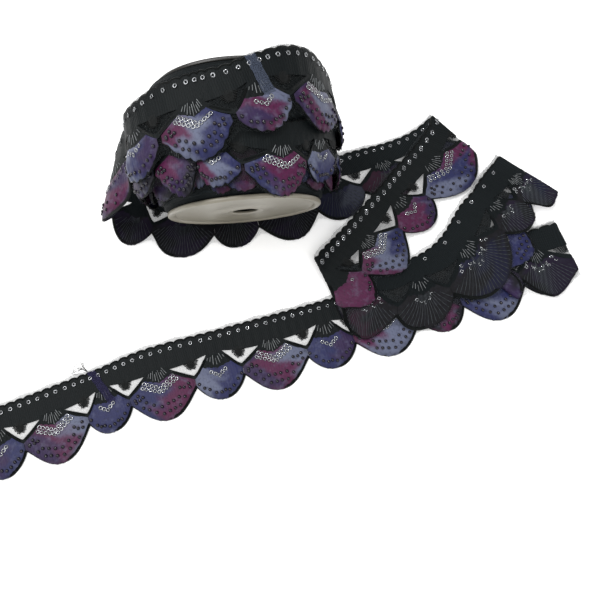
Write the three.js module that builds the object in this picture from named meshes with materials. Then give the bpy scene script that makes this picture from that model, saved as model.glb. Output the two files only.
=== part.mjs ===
// Roll of beaded sequin trim: a scalloped lace trim wound loosely on a plastic reel, with its loose
// end curling under the roll, lying folded back and forth in a small pile, and running off to the left.
// Millimetres, +Z up, the table at z = 0. The origin lies under the loose end, in front of the roll.

import * as THREE from "three";
import { mergeVertices } from "three/addons/utils/BufferGeometryUtils.js";

// The trim: one large and one small petal along each pair, measured along the heading.
const PAIR = 86;
const LARGE_HALF = 26;
const SMALL_CENTRE = 43;
const VALLEY_W = 31;
const LARGE_TIP_W = 55.5;
const SMALL_TIP_W = 49.5;
const NET_MARGIN = 1.5;
const SHEET = 1.1;
const PETAL_RISE = 0.5;
const HEADING_RISE = 0.35;

// The reel: two equal discs on a hollow barrel, its axis tilted with the front end low.
const FRONT_CENTRE = new THREE.Vector3(-39, 48, 56);
const BACK_CENTRE = new THREE.Vector3(-48, 129, 85);
const DISC_R = 54;
const DISC_HOLE_R = 9;
const RIM = 3.2;
const WEB = 1.6;
const BARREL_R = 22;
const BARREL_WALL = 2.5;
const GAP = 0.3;

// The table coordinates below are measured from a point behind the loose end; this point of the
// strip's flat underside is the part's origin.
const REST_POINT = new THREE.Vector3(0, -30, 0);

// The heights of the strip's middle surface in the folded pile, by the layer it lies in.
const LAYER = 2.8;
const FACE_UP = SHEET / 2;
const FACE_DOWN = SHEET / 2 + PETAL_RISE;
const FLAT_SPOT_Z = FACE_DOWN + SHEET / 2 + GAP;

const AXIS = BACK_CENTRE.clone().sub(FRONT_CENTRE).normalize();
const REEL_LENGTH = BACK_CENTRE.distanceTo(FRONT_CENTRE);
const RIGHT = new THREE.Vector3(1, 0, 0).addScaledVector(AXIS, -AXIS.x).normalize();
const UP = new THREE.Vector3().crossVectors(RIGHT, AXIS);

const degrees = THREE.MathUtils.degToRad;

// The value of one column of a table at a key, on a smooth curve through the rows. The first
// column holds the keys, which may be unevenly spaced.
function curveAt(rows, column, key) {
  let i = 1;
  while (i < rows.length - 1 && key > rows[i][0]) i++;
  const [a, b] = [rows[i - 1], rows[i]];
  const before = i > 1 ? rows[i - 2] : a;
  const after = i < rows.length - 1 ? rows[i + 1] : b;
  const step = b[0] - a[0];
  const startSlope = ((b[column] - before[column]) / (b[0] - before[0])) * step;
  const endSlope = ((after[column] - a[column]) / (after[0] - a[0])) * step;
  const u = (key - a[0]) / step;
  return (
    (2 * u ** 3 - 3 * u ** 2 + 1) * a[column] +
    (u ** 3 - 2 * u ** 2 + u) * startSlope +
    (3 * u ** 2 - 2 * u ** 3) * b[column] +
    (u ** 3 - u ** 2) * endSlope
  );
}

// A point on the smooth curve through three neighbouring columns of a table.
function pointAt(rows, firstColumn, key) {
  return new THREE.Vector3(...[0, 1, 2].map((k) => curveAt(rows, firstColumn + k, key)));
}

// Where s lies in its petal: the petal's centre distance as a share of its half width, and its size.
function petalAt(s) {
  const along = ((((s + LARGE_HALF) % PAIR) + PAIR) % PAIR) - LARGE_HALF;
  const large = along < LARGE_HALF;
  const half = large ? LARGE_HALF : PAIR / 2 - LARGE_HALF;
  const share = Math.abs(large ? along : along - SMALL_CENTRE) / half;
  return { share: Math.min(share, 1), tip: large ? LARGE_TIP_W : SMALL_TIP_W };
}

// How far the scalloped edge stands from the heading's edge at s.
function scallop(s) {
  const { share, tip } = petalAt(s);
  const bow = Math.pow(1 - Math.pow(share, 2.3), 0.62);
  return VALLEY_W + (tip - VALLEY_W) * bow + NET_MARGIN;
}

// How far the petals and the corded heading stand proud of the net, on the right side.
function relief(s, w) {
  if (w < 6) return HEADING_RISE;
  if (w < 26) return 0.1;
  const { share } = petalAt(s);
  return PETAL_RISE * (1 - 0.7 * share * share);
}

// A closed mesh from a grid of rows of points. Rows wrap round when closedRows is true, and the
// points of a row always form a closed loop. An open set of rows gets a flat cap at each end.
function loopMesh(rows, closedRows) {
  const positions = [];
  const faces = [];
  const n = rows[0].length;
  for (const row of rows) for (const p of row) positions.push(p.x, p.y, p.z);
  const steps = closedRows ? rows.length : rows.length - 1;
  for (let i = 0; i < steps; i++) {
    const j = (i + 1) % rows.length;
    for (let k = 0; k < n; k++) {
      const m = (k + 1) % n;
      const [a, b, c, d] = [i * n + k, j * n + k, j * n + m, i * n + m];
      faces.push(a, b, c, a, c, d);
    }
  }
  const geometry = new THREE.BufferGeometry();
  geometry.setAttribute("position", new THREE.Float32BufferAttribute(positions, 3));
  geometry.setIndex(faces);
  return geometry;
}

function finish(geometry, name, colour, roughness, metalness = 0) {
  geometry.computeVertexNormals();
  const material = new THREE.MeshStandardMaterial({ color: colour, roughness, metalness });
  const mesh = new THREE.Mesh(geometry, material);
  mesh.name = name;
  return mesh;
}

// The reel, in its own frame with +Y along the axis from the front disc to the back one.

function discProfile(outward) {
  const half = RIM / 2;
  const web = WEB / 2;
  const points = [
    [DISC_HOLE_R, -web],
    [DISC_HOLE_R + 4, -web - 0.3],
    [DISC_R - 16, -web - 0.1],
    [DISC_R - 6, -web],
    [DISC_R - 4.5, -half + 0.2],
    [DISC_R - 2, -half],
    [DISC_R, -half + 1],
    [DISC_R, half - 0.6],
    [DISC_R - 1.5, half],
    [DISC_R - 4.5, half],
    [DISC_R - 6, web],
    [DISC_HOLE_R, web],
  ].map(([r, y]) => new THREE.Vector2(r, outward * y));
  if (outward < 0) points.reverse();
  points.push(points[0].clone());
  return points;
}

function reelPiece(profile, segments, along) {
  const geometry = new THREE.LatheGeometry(profile, segments);
  geometry.deleteAttribute("normal");
  geometry.deleteAttribute("uv");
  const merged = mergeVertices(geometry, 1e-4);
  const turn = new THREE.Quaternion().setFromUnitVectors(new THREE.Vector3(0, 1, 0), AXIS);
  merged.applyQuaternion(turn);
  const at = FRONT_CENTRE.clone().addScaledVector(AXIS, along);
  merged.translate(at.x, at.y, at.z);
  return merged;
}

function barrelProfile() {
  const start = WEB / 2 + GAP;
  const end = REEL_LENGTH - WEB / 2 - GAP;
  const inner = BARREL_R - BARREL_WALL;
  return [
    [inner, start],
    [BARREL_R, start],
    [BARREL_R, end],
    [inner, end],
    [inner, start],
  ].map(([r, y]) => new THREE.Vector2(r, y));
}

// The wound trim, by the angle round the axis: 0 at the right, 90 on top, 180 at the left.

// The outer radius of the last turn.
const OUTER_R = [
  [0, 72.5],
  [20, 68.3],
  [45, 67],
  [93, 67.5],
  [135, 74.5],
  [152, 77.3],
  [166, 75.8],
  [180, 75],
  [225, 78],
  [270, 80],
  [315, 77],
  [360, 73],
];

// Where the last turn's heading lies along the axis.
const HEADING_U = [
  [0, 86.5],
  [16, 89.5],
  [34, 92],
  [47, 91],
  [59, 88],
  [68, 84.5],
  [78, 80.5],
  [90, 76],
  [101, 74.5],
  [124, 71],
  [139, 67],
  [150, 65],
  [165, 63],
  [200, 66],
  [250, 74],
  [300, 80],
  [360, 86.5],
];

// How far forward the petals of the turn beneath reach along the axis.
const FRONT_U = [
  [0, 9],
  [17, 7],
  [68, -3.4],
  [100, 2],
  [121, 2.5],
  [150, 5],
  [180, 8],
  [225, 12],
  [270, 14],
  [315, 12],
  [360, 9],
];

// The place along the trim that lies at each angle, for the last turn and for the turn beneath.
const LAST_TURN_S = [
  [0, -127],
  [38, -86],
  [71, -43],
  [108, 0],
  [149, 43],
  [182, 86],
  [218, 129],
  [252, 172],
  [287, 215],
  [322, 258],
  [360, 303],
];
const TURN_BENEATH_S = [
  [0, -152],
  [28, -129],
  [68, -86],
  [100, -43],
  [121, 0],
  [155, 43],
  [192, 86],
  [229, 129],
  [265, 172],
  [302, 215],
  [345, 258],
  [360, 278],
];
const LEAN = 0.91;
const LEAN_IN = 3.5;
const WOUND_STEPS = 84;

// One cross-section of the wound trim: [along the axis, radius] points, from the barrel at the
// back, over the edges of the turns, the last turn and the turn beneath it, to the barrel again.
function woundSection(angle) {
  const inner = BARREL_R + GAP;
  const r = curveAt(OUTER_R, 1, angle);
  const headingR = r - LEAN_IN * Math.pow(Math.max(0, Math.cos(degrees(angle))), 6);
  const heading = curveAt(HEADING_U, 1, angle);
  const lastEdge = heading - LEAN * scallop(curveAt(LAST_TURN_S, 1, angle));
  const frontScallop = scallop(curveAt(TURN_BENEATH_S, 1, angle));
  const frontEdge = curveAt(FRONT_U, 1, angle) + 0.8 * (LARGE_TIP_W + NET_MARGIN - frontScallop);
  const backFace = REEL_LENGTH - RIM / 2 - GAP;
  const frontFace = RIM / 2 + GAP;
  const overlap = Math.min(frontEdge + 11, lastEdge - 1);
  return [
    [backFace, inner],
    [backFace, 52.5],
    [backFace - 0.5, 55.5],
    [backFace - 4.5, 57.5],
    [backFace - 1, 59.2],
    [backFace - 6, 61],
    [Math.min(heading - 4, backFace), headingR - 4.2],
    [heading - 1, headingR - 1.8],
    [heading, headingR],
    [heading - 1.5, headingR + 0.8],
    [heading - 16, r],
    [heading - 28, r - 0.8],
    [(heading - 30 + lastEdge) / 2, r + 1.6],
    [lastEdge, r - 0.2],
    [lastEdge + 1.5, r - 2.6],
    [overlap, r - 3.4],
    [frontEdge, r - 5.2],
    [frontEdge + 1.5, r - 7.8],
    [Math.max(frontFace + 4, frontEdge + 2.5), 58.4],
    [frontFace + 2.2, 56],
    [frontFace, 52.5],
    [frontFace, inner],
  ];
}

function onAxis(along, radius, angle) {
  return FRONT_CENTRE.clone()
    .addScaledVector(AXIS, along)
    .addScaledVector(RIGHT, radius * Math.cos(angle))
    .addScaledVector(UP, radius * Math.sin(angle));
}

// Where the turns meet the flat strip under the roll they are pressed together, all in the same
// measure, so that the lowest of them lies flat.
function pressed(along, radius, angle, outer) {
  const inner = BARREL_R + GAP;
  const drop = -UP.z * Math.sin(angle) - RIGHT.z * Math.cos(angle);
  if (drop <= 0.05) return radius;
  const floorR = (FRONT_CENTRE.z + along * AXIS.z - FLAT_SPOT_Z) / drop;
  const squeeze = Math.min(1, (floorR - inner) / (outer - inner));
  return inner + (radius - inner) * squeeze;
}

function woundTrim() {
  const rows = [];
  for (let i = 0; i < WOUND_STEPS; i++) {
    const share = (360 * i) / WOUND_STEPS;
    const angle = degrees(share);
    const outer = curveAt(OUTER_R, 1, share) + 1.6;
    rows.push(
      woundSection(share).map(([along, radius]) =>
        onAxis(along, pressed(along, radius, angle, outer), angle),
      ),
    );
  }
  return loopMesh(rows, true);
}

// The loose end, as runs between folds. Each row gives the place along the trim, the heading's
// point on the table and the height of the strip's middle surface.

// From the roll's left flank down to the table, with the scalloped edge's point as well.
const EDGE_W = 57;
const CURL = [
  // s, heading x, y, z, scalloped edge x, y, z
  [62, -119.6, 90.5, 95.5, -117.5, 34, 81],
  [74, -125.5, 91, 80, -131, 37, 67],
  [86, -132, 92, 63, -141, 42, 51],
  [97, -137.5, 93.5, 45, -146, 44.5, 35],
  [107, -140.5, 95, 28, -148, 45.5, 20],
  [115, -140, 97, 14, -147, 45, 9.5],
  [121, -136, 98.5, 5.5, -144, 43.5, 3.6],
  [129, -128, 98.5, FACE_DOWN, -137.5, 42.3, FACE_DOWN],
];

const RUNS = [
  {
    name: "under the roll, wrong side up",
    side: 1,
    rows: [
      [129, -128, 98.5, FACE_DOWN],
      [150, -110.5, 95.5, FACE_DOWN],
      [172, -92.5, 93.5, FACE_DOWN],
      [193, -76, 94.3, FACE_DOWN],
      [215, -60.5, 96.7, FACE_DOWN],
      [258, -21, 106.4, FACE_DOWN],
      [301, 17, 118.6, FACE_DOWN],
      [345, 59, 139.8, FACE_DOWN],
      [398, 112.6, 167.2, FACE_DOWN],
    ],
  },
  {
    name: "back over itself, right side up",
    side: -1,
    rows: [
      [398, 112.6, 167.2, LAYER + FACE_UP],
      [431, 90.3, 132.6, LAYER + FACE_UP],
      [470, 68.8, 103.1, LAYER + FACE_UP],
      [496, 52.5, 81.5, 2 * LAYER + FACE_UP],
      [559, 15, 28, 2 * LAYER + FACE_UP],
    ],
  },
  {
    name: "out to the right, wrong side up",
    side: 1,
    rows: [
      [559, 15, 28, LAYER + FACE_DOWN],
      [615, 63, 21.6, LAYER + FACE_DOWN],
      [647, 88, 27, LAYER + FACE_DOWN + 0.6],
      [681, 112.5, 44.5, 3 * LAYER + FACE_DOWN],
      [719, 133, 74.3, 3 * LAYER + FACE_DOWN],
      [757, 149, 101.5, 3 * LAYER + FACE_DOWN],
      [785, 164.5, 121.5, 3 * LAYER + FACE_DOWN],
    ],
  },
  {
    name: "under that, right side up",
    side: -1,
    rows: [
      [785, 164.5, 121.5, 2 * LAYER + FACE_UP],
      [820, 143, 93.5, 2 * LAYER + FACE_UP],
      [874, 126, 42, 2 * LAYER + FACE_UP],
    ],
  },
  {
    name: "out to the right again, wrong side up",
    side: 1,
    rows: [
      [874, 126, 42, LAYER + FACE_DOWN],
      [920, 163.5, 54, LAYER + FACE_DOWN],
      [968, 204, 64, LAYER + FACE_DOWN],
    ],
  },
  {
    name: "along the table to the left, right side up",
    side: -1,
    rows: [
      [968, 204, 64, FACE_UP],
      [1050, 118.5, 33.8, FACE_UP],
      [1148, 28.5, 1, FACE_UP],
      [1270, -87.5, -32.6, FACE_UP],
      [1410, -216.8, -83.4, FACE_UP],
      [1424, -229.6, -88.8, FACE_UP],
    ],
  },
];
const FOLD_ANGLES = [0, 45, 90, 135, 180];

// The columns of one pair: each petal's centre, its shoulders and its valleys.
const COLUMNS = [0, 9, 18, 23.5, 26, 29.5, 35.5, 43, 50.5, 56.5, 60, 62.5, 68, 77];

// The columns of a run from one place to another, at least clear from either. A column that leans
// starts that much earlier on the heading, so that it meets the petals' valleys.
function columnPlaces(from, to, clear, leanAt) {
  const places = [];
  for (let pair = Math.floor(from / PAIR) - 1; pair * PAIR < to + PAIR; pair++) {
    for (const column of COLUMNS) {
      const valley = pair * PAIR + column;
      const s = valley - VALLEY_W * leanAt(valley);
      if (s > from + clear && s < to - clear) places.push(s);
    }
  }
  return places;
}

// The point and the level direction of a run's heading at s.
function headingAt(rows, s) {
  const tangent = pointAt(rows, 1, s + 0.2).sub(pointAt(rows, 1, s - 0.2));
  tangent.z = 0;
  return { here: pointAt(rows, 1, s), tangent: tangent.normalize() };
}

// The lean of a fold's line against the strip: the shift along the strip for each millimetre
// across it. The line halves the angle between the two runs that meet there.
function foldLean(before, after) {
  const d1 = headingAt(before.rows, before.rows[before.rows.length - 1][0]).tangent;
  const d2 = headingAt(after.rows, after.rows[0][0]).tangent;
  const line = d1.clone().add(d2);
  const across = before.side * (d1.x * d2.y - d1.y * d2.x) > 0 ? 1 : -1;
  if (line.length() < 1e-6) return 0;
  const half = (Math.PI - d1.angleTo(d2)) / 2;
  return -across * Math.tan(half);
}

// One station of the strip: the heading's point, the step across for each millimetre of width,
// the normal of the right side, and how the column leans.
function flatStation(run, s, lean) {
  const { here, tangent } = headingAt(run.rows, s);
  const across = new THREE.Vector3(tangent.y, -tangent.x, 0).multiplyScalar(run.side);
  across.addScaledVector(tangent, lean);
  const normal = new THREE.Vector3(0, 0, -run.side);
  return { s, here, across, normal, lean };
}

// The stations on a rounded fold between the last station of one run and the first of the next.
function foldStations(before, after) {
  const up = Math.sign(after.here.z - before.here.z);
  const radius = Math.abs(after.here.z - before.here.z) / 2;
  const line = before.across.clone().normalize();
  const outward = new THREE.Vector3(line.y, -line.x, 0);
  if (outward.dot(before.tangent) < 0) outward.negate();
  const rightOutside = Math.sign(before.normal.z) === -up ? 1 : -1;
  return FOLD_ANGLES.map((angle) => {
    const turn = degrees(angle);
    const here = before.here.clone().addScaledVector(outward, radius * Math.sin(turn));
    here.z += up * radius * (1 - Math.cos(turn));
    const normal = before.normal.clone().multiplyScalar(Math.cos(turn));
    normal.addScaledVector(outward, rightOutside * Math.sin(turn));
    return { s: before.s, here, across: before.across.clone(), normal, lean: before.lean };
  });
}

function curlStations() {
  const start = CURL[0][0];
  const end = CURL[CURL.length - 1][0];
  return [start, ...columnPlaces(start, end, 1, () => 0)].map((s) => {
    const here = pointAt(CURL, 1, s);
    const across = pointAt(CURL, 4, s).sub(here).divideScalar(EDGE_W);
    const tangent = pointAt(CURL, 1, s + 0.2).sub(pointAt(CURL, 1, s - 0.2));
    const normal = new THREE.Vector3().crossVectors(tangent, across).normalize();
    return { s, here, across, normal, lean: 0 };
  });
}

function looseStations() {
  const stations = curlStations();
  let lean = 0;
  RUNS.forEach((run, i) => {
    const from = run.rows[0][0];
    const to = run.rows[run.rows.length - 1][0];
    const next = RUNS[i + 1];
    const endLean = next ? foldLean(run, next) : 0;
    const startLean = lean;
    const leanAt = (s) => startLean + ((endLean - startLean) * (s - from)) / (to - from);
    const places = columnPlaces(from, to, 2.5, leanAt);
    if (i === 0) places.unshift(from);
    for (const s of places) stations.push(flatStation(run, s, leanAt(s)));
    const last = flatStation(run, to, endLean);
    if (next) {
      last.tangent = headingAt(run.rows, to).tangent;
      const first = flatStation(next, to, endLean);
      stations.push(...foldStations(last, first));
    } else {
      stations.push(last);
    }
    lean = endLean;
  });
  return stations;
}

// The width of the strip along a leaning column, up to the scalloped edge.
function edgeWidth(s, lean) {
  let [low, high] = [0, 70];
  for (let i = 0; i < 30; i++) {
    const w = (low + high) / 2;
    if (w < scallop(s + w * lean)) low = w;
    else high = w;
  }
  return low;
}

// A strip's cross-section: over the right side from the heading to the scalloped edge, and back
// over the wrong side.
function stripLoop({ s, here, across, normal, lean }) {
  const edge = edgeWidth(s, lean);
  const widths = [0, 5, 8, 25, (27 + edge) / 2, edge - 2, edge].map((w) => Math.min(w, edge));
  const point = (w, rise) =>
    here.clone().addScaledVector(across, w).addScaledVector(normal, rise);
  const right = widths.map((w) => {
    const outer = w === edge ? 0 : relief(s + w * lean, w);
    return point(w, SHEET / 2 + outer);
  });
  const wrong = [edge, 26, 0].map((w) => point(w, -SHEET / 2));
  return [...right, ...wrong];
}

// The triangles that cap one end of the strip. A strip's cross-section has WRONG_POINTS on its
// wrong side: under the scalloped edge, under the petals' valley and under the heading.
const WRONG_POINTS = 3;
const VALLEY_POINT = 3;

function capFaces(first, n, flip) {
  const faces = [];
  const add = (a, b, c) => faces.push(...(flip ? [a, c, b] : [a, b, c]).map((k) => first + k));
  const [edgeLow, middleLow, headingLow] = [n - 3, n - 2, n - 1];
  const lastRight = n - WRONG_POINTS - 1;
  for (let k = 0; k < lastRight; k++) add(k + 1, k, k < VALLEY_POINT ? headingLow : middleLow);
  add(VALLEY_POINT, headingLow, middleLow);
  add(lastRight, middleLow, edgeLow);
  return faces;
}

function looseEnd() {
  const loops = looseStations().map(stripLoop);
  const geometry = loopMesh(loops, false);
  const n = loops[0].length;
  const index = Array.from(geometry.index.array);
  index.push(...capFaces(0, n, true), ...capFaces((loops.length - 1) * n, n, false));
  geometry.setIndex(index);
  return geometry;
}

const reel = new THREE.Group();
const frontDisc = reelPiece(discProfile(1), 56, 0);
const backDisc = reelPiece(discProfile(-1), 56, REEL_LENGTH);
reel.add(finish(frontDisc, "reel_front_disc", 0xc9c3b4, 0.3));
reel.add(finish(backDisc, "reel_back_disc", 0x3f3c36, 0.35));
reel.add(finish(reelPiece(barrelProfile(), 40, 0), "reel_barrel", 0xc9c3b4, 0.4));

const part = new THREE.Group();
part.add(reel);
part.add(finish(woundTrim(), "wound_trim", 0x262d2c, 0.8));
part.add(finish(looseEnd(), "loose_end", 0x3d3a55, 0.7));
part.position.copy(REST_POINT).negate();

export default part;
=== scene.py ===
# %% [markdown]
# # A roll of beaded sequin trim
# The real thing is a scalloped net trim, about 58 mm wide, wound on a plastic reel with one cream and
# one dark disc. Black embroidery carries printed organza petals, seed beads and silver ring sequins.
# The same motif repeats every 86 mm, so this lesson draws it once, flat, as places along and across
# the trim, and then bends those places round the roll and along the folded loose end.

import math
from collections import namedtuple

import bpy
import numpy as np
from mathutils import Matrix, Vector


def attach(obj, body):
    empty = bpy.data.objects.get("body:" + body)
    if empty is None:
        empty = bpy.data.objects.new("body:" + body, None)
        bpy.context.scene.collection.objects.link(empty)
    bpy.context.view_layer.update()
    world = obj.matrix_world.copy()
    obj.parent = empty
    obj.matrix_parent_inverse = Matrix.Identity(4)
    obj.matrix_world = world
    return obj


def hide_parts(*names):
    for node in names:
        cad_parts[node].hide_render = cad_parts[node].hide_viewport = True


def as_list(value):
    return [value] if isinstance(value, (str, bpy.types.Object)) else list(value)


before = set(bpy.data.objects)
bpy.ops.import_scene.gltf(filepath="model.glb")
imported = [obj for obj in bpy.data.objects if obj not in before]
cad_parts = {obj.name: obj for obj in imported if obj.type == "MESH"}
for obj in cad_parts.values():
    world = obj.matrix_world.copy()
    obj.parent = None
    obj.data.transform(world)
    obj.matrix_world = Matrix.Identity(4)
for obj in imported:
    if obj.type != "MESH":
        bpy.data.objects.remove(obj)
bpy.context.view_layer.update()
print("CAD nodes:", ", ".join(sorted(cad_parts)))

# %% [markdown]
# ## The camera and the light
# The photograph looks steeply down from the front. A wide, soft light from above keeps the shadows
# pale, and a smaller one gives the sequins their glints.

# %% The camera and the lights
MM = 0.001
CAMERA_PLACE = (0.0, -120.7, 430.4)
CAMERA_TILT = 19.3
FOCAL_SHARE = 590 / 600
SENSOR = 36.0


def put_in_scene(name, data):
    """A new object that holds this data."""
    item = bpy.data.objects.new(name, data)
    bpy.context.scene.collection.objects.link(item)
    return item


camera = put_in_scene("camera", bpy.data.cameras.new("camera"))
camera.data.sensor_width = SENSOR
camera.data.lens = SENSOR * FOCAL_SHARE
camera.location = Vector(CAMERA_PLACE) * MM
camera.rotation_euler = (math.radians(CAMERA_TILT), 0, 0)
bpy.context.scene.camera = camera
bpy.context.scene.view_settings.view_transform = "Standard"

LIGHTS = [
    # name, place, size, watts
    ("soft_light", (-0.55, 0.1, 0.95), 0.7, 8.0),
    ("front_light", (0.6, -0.7, 0.75), 0.5, 5.0),
    ("glint_light", (-0.02, 0.42, 1.0), 0.07, 2.0),
]
GLINT_PLACE = LIGHTS[2][1]
for name, place, size, watts in LIGHTS:
    light = put_in_scene(name, bpy.data.lights.new(name, "AREA"))
    light.data.size = size
    light.data.energy = watts
    light.location = place
    light.rotation_euler = (-Vector(place)).to_track_quat("-Z", "Y").to_euler()

world = bpy.data.worlds.new("studio")
world.use_nodes = True
world.node_tree.nodes["Background"].inputs["Color"].default_value = (1, 1, 1, 1)
world.node_tree.nodes["Background"].inputs["Strength"].default_value = 0.62
bpy.context.scene.world = world
print("camera at", tuple(camera.location), "with", len(LIGHTS), "lights")

# %% [markdown]
# ## Node groups and materials
# Three effects are shared by several finishes: the fine ridges of laid thread, the mottling of a
# print and the weave of net. Each is a small node group that puts out only values that change over
# the surface.

# %% Helpers for nodes


def give(node, values):
    """Sets a node's inputs to constants, or links them from other nodes' sockets."""
    for key, value in values.items():
        if hasattr(value, "node"):
            node.id_data.links.new(value, node.inputs[key])
        else:
            node.inputs[key].default_value = value


def add(tree, kind, values=None, **settings):
    """A node with its settings and what its inputs are given."""
    node = tree.nodes.new(kind)
    for key, value in settings.items():
        setattr(node, key, value)
    give(node, values or {})
    return node


def new_group(name, inputs, outputs, kind="ShaderNodeTree"):
    """An empty group, the sockets of what it is given, and the node for its results."""
    group = bpy.data.node_groups.new(name, kind)
    for label, socket_type, default in inputs:
        socket = group.interface.new_socket(label, in_out="INPUT", socket_type=socket_type)
        if default is not None:
            socket.default_value = default
    for label, socket_type in outputs:
        group.interface.new_socket(label, in_out="OUTPUT", socket_type=socket_type)
    return group, group.nodes.new("NodeGroupInput").outputs, group.nodes.new("NodeGroupOutput")


def math_node(tree, operation, *values):
    """A Math node's result for numbers or other nodes' sockets."""
    return add(tree, "ShaderNodeMath", dict(enumerate(values)), operation=operation).outputs[0]


def ramp(tree, value, low, high, first=0.0, last=1.0):
    """A value between two limits, spread from first to last."""
    limits = {"Value": value, "From Min": low, "From Max": high, "To Min": first, "To Max": last}
    return add(tree, "ShaderNodeMapRange", limits).outputs[0]


def noise(tree, place, scale, detail, roughness=0.5):
    """A Noise texture's value at a place."""
    values = {"Vector": place, "Scale": scale, "Detail": detail, "Roughness": roughness}
    return add(tree, "ShaderNodeTexNoise", values).outputs[0]


def linear(code):
    """A colour written as in a paint chart, in the renderer's linear values."""
    parts = [int(code[i : i + 2], 16) / 255 for i in (1, 3, 5)]
    return tuple(p / 12.92 if p < 0.04045 else ((p + 0.055) / 1.055) ** 2.4 for p in parts) + (1,)


# %% The shared groups
FLOAT = "NodeSocketFloat"
PLACE = ("Place", "NodeSocketVector", None)

thread_group, given, result = new_group(
    "laid_thread",
    [PLACE, ("Ridges", FLOAT, 1.0), ("Waviness", FLOAT, 1.0)],
    [("Height", FLOAT), ("Shade", FLOAT)],
)
wave = add(
    thread_group, "ShaderNodeTexWave",
    {"Vector": given["Place"], "Scale": given["Ridges"], "Distortion": given["Waviness"],
     "Detail": 2.0, "Detail Scale": 2.0},
)
fibre = noise(thread_group, given["Place"], 4.0, 4.0)
height = math_node(thread_group, "MULTIPLY_ADD", fibre, 0.6, wave.outputs[1])
# painted light and shade: the ridges' height mixes a thread's shaded colour and its lit colour
shade = math_node(thread_group, "MULTIPLY_ADD", height, 0.5, 0.15)
give(result, {"Height": height, "Shade": shade})

mottle_group, given, result = new_group(
    "mottled_print", [PLACE, ("Scale", FLOAT, 200.0)], [("Light", FLOAT), ("Dark", FLOAT)]
)
cloud = noise(mottle_group, given["Place"], given["Scale"], 5.0, 0.65)
finer = math_node(mottle_group, "MULTIPLY", given["Scale"], 2.7)
speck = noise(mottle_group, given["Place"], finer, 3.0)
give(result, {
    "Light": ramp(mottle_group, cloud, 0.5, 0.72), "Dark": ramp(mottle_group, speck, 0.52, 0.74)
})

net_group, given, result = new_group(
    "net_weave", [PLACE, ("Meshes", FLOAT, 700.0)], [("Thread", FLOAT)]
)
cells = add(
    net_group, "ShaderNodeTexVoronoi", {"Vector": given["Place"], "Scale": given["Meshes"]},
    feature="DISTANCE_TO_EDGE",
)
give(result, {"Thread": ramp(net_group, cells.outputs["Distance"], 0.02, 0.2, 1.0, 0.0)})
print("groups:", ", ".join(g.name for g in (thread_group, mottle_group, net_group)))

# %% Helpers for materials


def new_material(name, **values):
    """A material with a Principled shader, its constants set on the shader's own sockets."""
    material = bpy.data.materials.new(name)
    material.use_nodes = True
    shader = material.node_tree.nodes["Principled BSDF"]
    give(shader, {key.replace("_", " "): value for key, value in values.items()})
    return material, material.node_tree, shader


def object_place(tree):
    """The socket that gives each point's place on the object."""
    return add(tree, "ShaderNodeTexCoord").outputs["Object"]


def flat_place(tree):
    """The socket that gives each point's place on the trim laid flat."""
    return add(tree, "ShaderNodeUVMap", uv_map="flat").outputs["UV"]


def use_group(tree, group, place, **values):
    """The outputs of a shared group, read at this place."""
    return add(tree, "ShaderNodeGroup", {"Place": place, **values}, node_tree=group).outputs


def bump(tree, shader, height, distance, strength=1.0):
    """Fine relief from a height that changes over the surface."""
    values = {"Strength": strength, "Distance": distance, "Height": height}
    give(shader, {"Normal": add(tree, "ShaderNodeBump", values).outputs[0]})


def mix_colour(tree, share, first, second):
    """A Mix node for colours; each end is a colour or another node's socket."""
    ends = {0: share, 6: first, 7: second}
    return add(tree, "ShaderNodeMix", ends, data_type="RGBA").outputs[2]


# %% The embroidery, the cords and the single threads


def thread_material(name, dark, lit, ridges, waviness, roughness, gloss, depth):
    """Rayon thread laid side by side. A single thread has no depth, only a changing shade."""
    material, tree, shader = new_material(name, Roughness=roughness, Specular_IOR_Level=gloss)
    place = flat_place(tree) if depth else object_place(tree)
    thread = use_group(tree, thread_group, place, Ridges=ridges, Waviness=waviness)
    give(shader, {"Base Color": mix_colour(tree, thread["Shade"], linear(dark), linear(lit))})
    if depth:
        bump(tree, shader, thread["Height"], depth)
    return material


THREADS = [
    # finish, its painted shaded and lit colour, ridges, waviness, roughness, gloss, depth of the
    # ridges
    ("black_embroidery", "#050707", "#0e1416", 0.42, 4.0, 0.55, 0.12, 0.0001),
    ("embroidery_back", "#060808", "#141b1e", 0.5, 3.5, 0.65, 0.12, 0.0003),
    ("satin_cord", "#060707", "#171b1b", 0.6, 0.6, 0.4, 0.12, 0.0003),
    ("fan_openwork", "#3c3f40", "#8f9294", 90.0, 2.0, 0.6, 0.2, 0),
    ("black_thread", "#040505", "#101313", 90.0, 2.0, 0.6, 0.2, 0),
    # back_thread is the same black thread drawn lighter: painted sheen on the wrong side's threads
    ("back_thread", "#1a1f21", "#43484c", 90.0, 2.0, 0.6, 0.2, 0),
]
embroidery, embroidery_back, cord_black, slit_light, thread_black, thread_back = (
    thread_material(*row) for row in THREADS
)

# %% The printed organza


def print_material(name, roughness, light_share, light_code, dark_share, pleats):
    """Organza printed in clouds: each vertex carries its petal's print colour."""
    material, tree, shader = new_material(name, Roughness=roughness, Specular_IOR_Level=0.2)
    colour = add(tree, "ShaderNodeAttribute", attribute_name="print").outputs["Color"]
    mottle = use_group(tree, mottle_group, object_place(tree), Scale=190.0)
    for mask, most, code in (("Light", light_share, light_code), ("Dark", dark_share, "#15141f")):
        share = math_node(tree, "MULTIPLY", mottle[mask], most)
        colour = mix_colour(tree, share, colour, linear(code))
    give(shader, {"Base Color": colour})
    pleat = use_group(tree, thread_group, flat_place(tree), Ridges=pleats, Waviness=1.5)
    bump(tree, shader, pleat["Height"], 0.00005)
    return material


organza = print_material("printed_organza", 0.5, 0.3, "#676b80", 0.5, 0.16)
organza_back = print_material("organza_back", 0.7, 0.2, "#33363b", 0.6, 0.3)

# %% The net and the join strips


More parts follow.
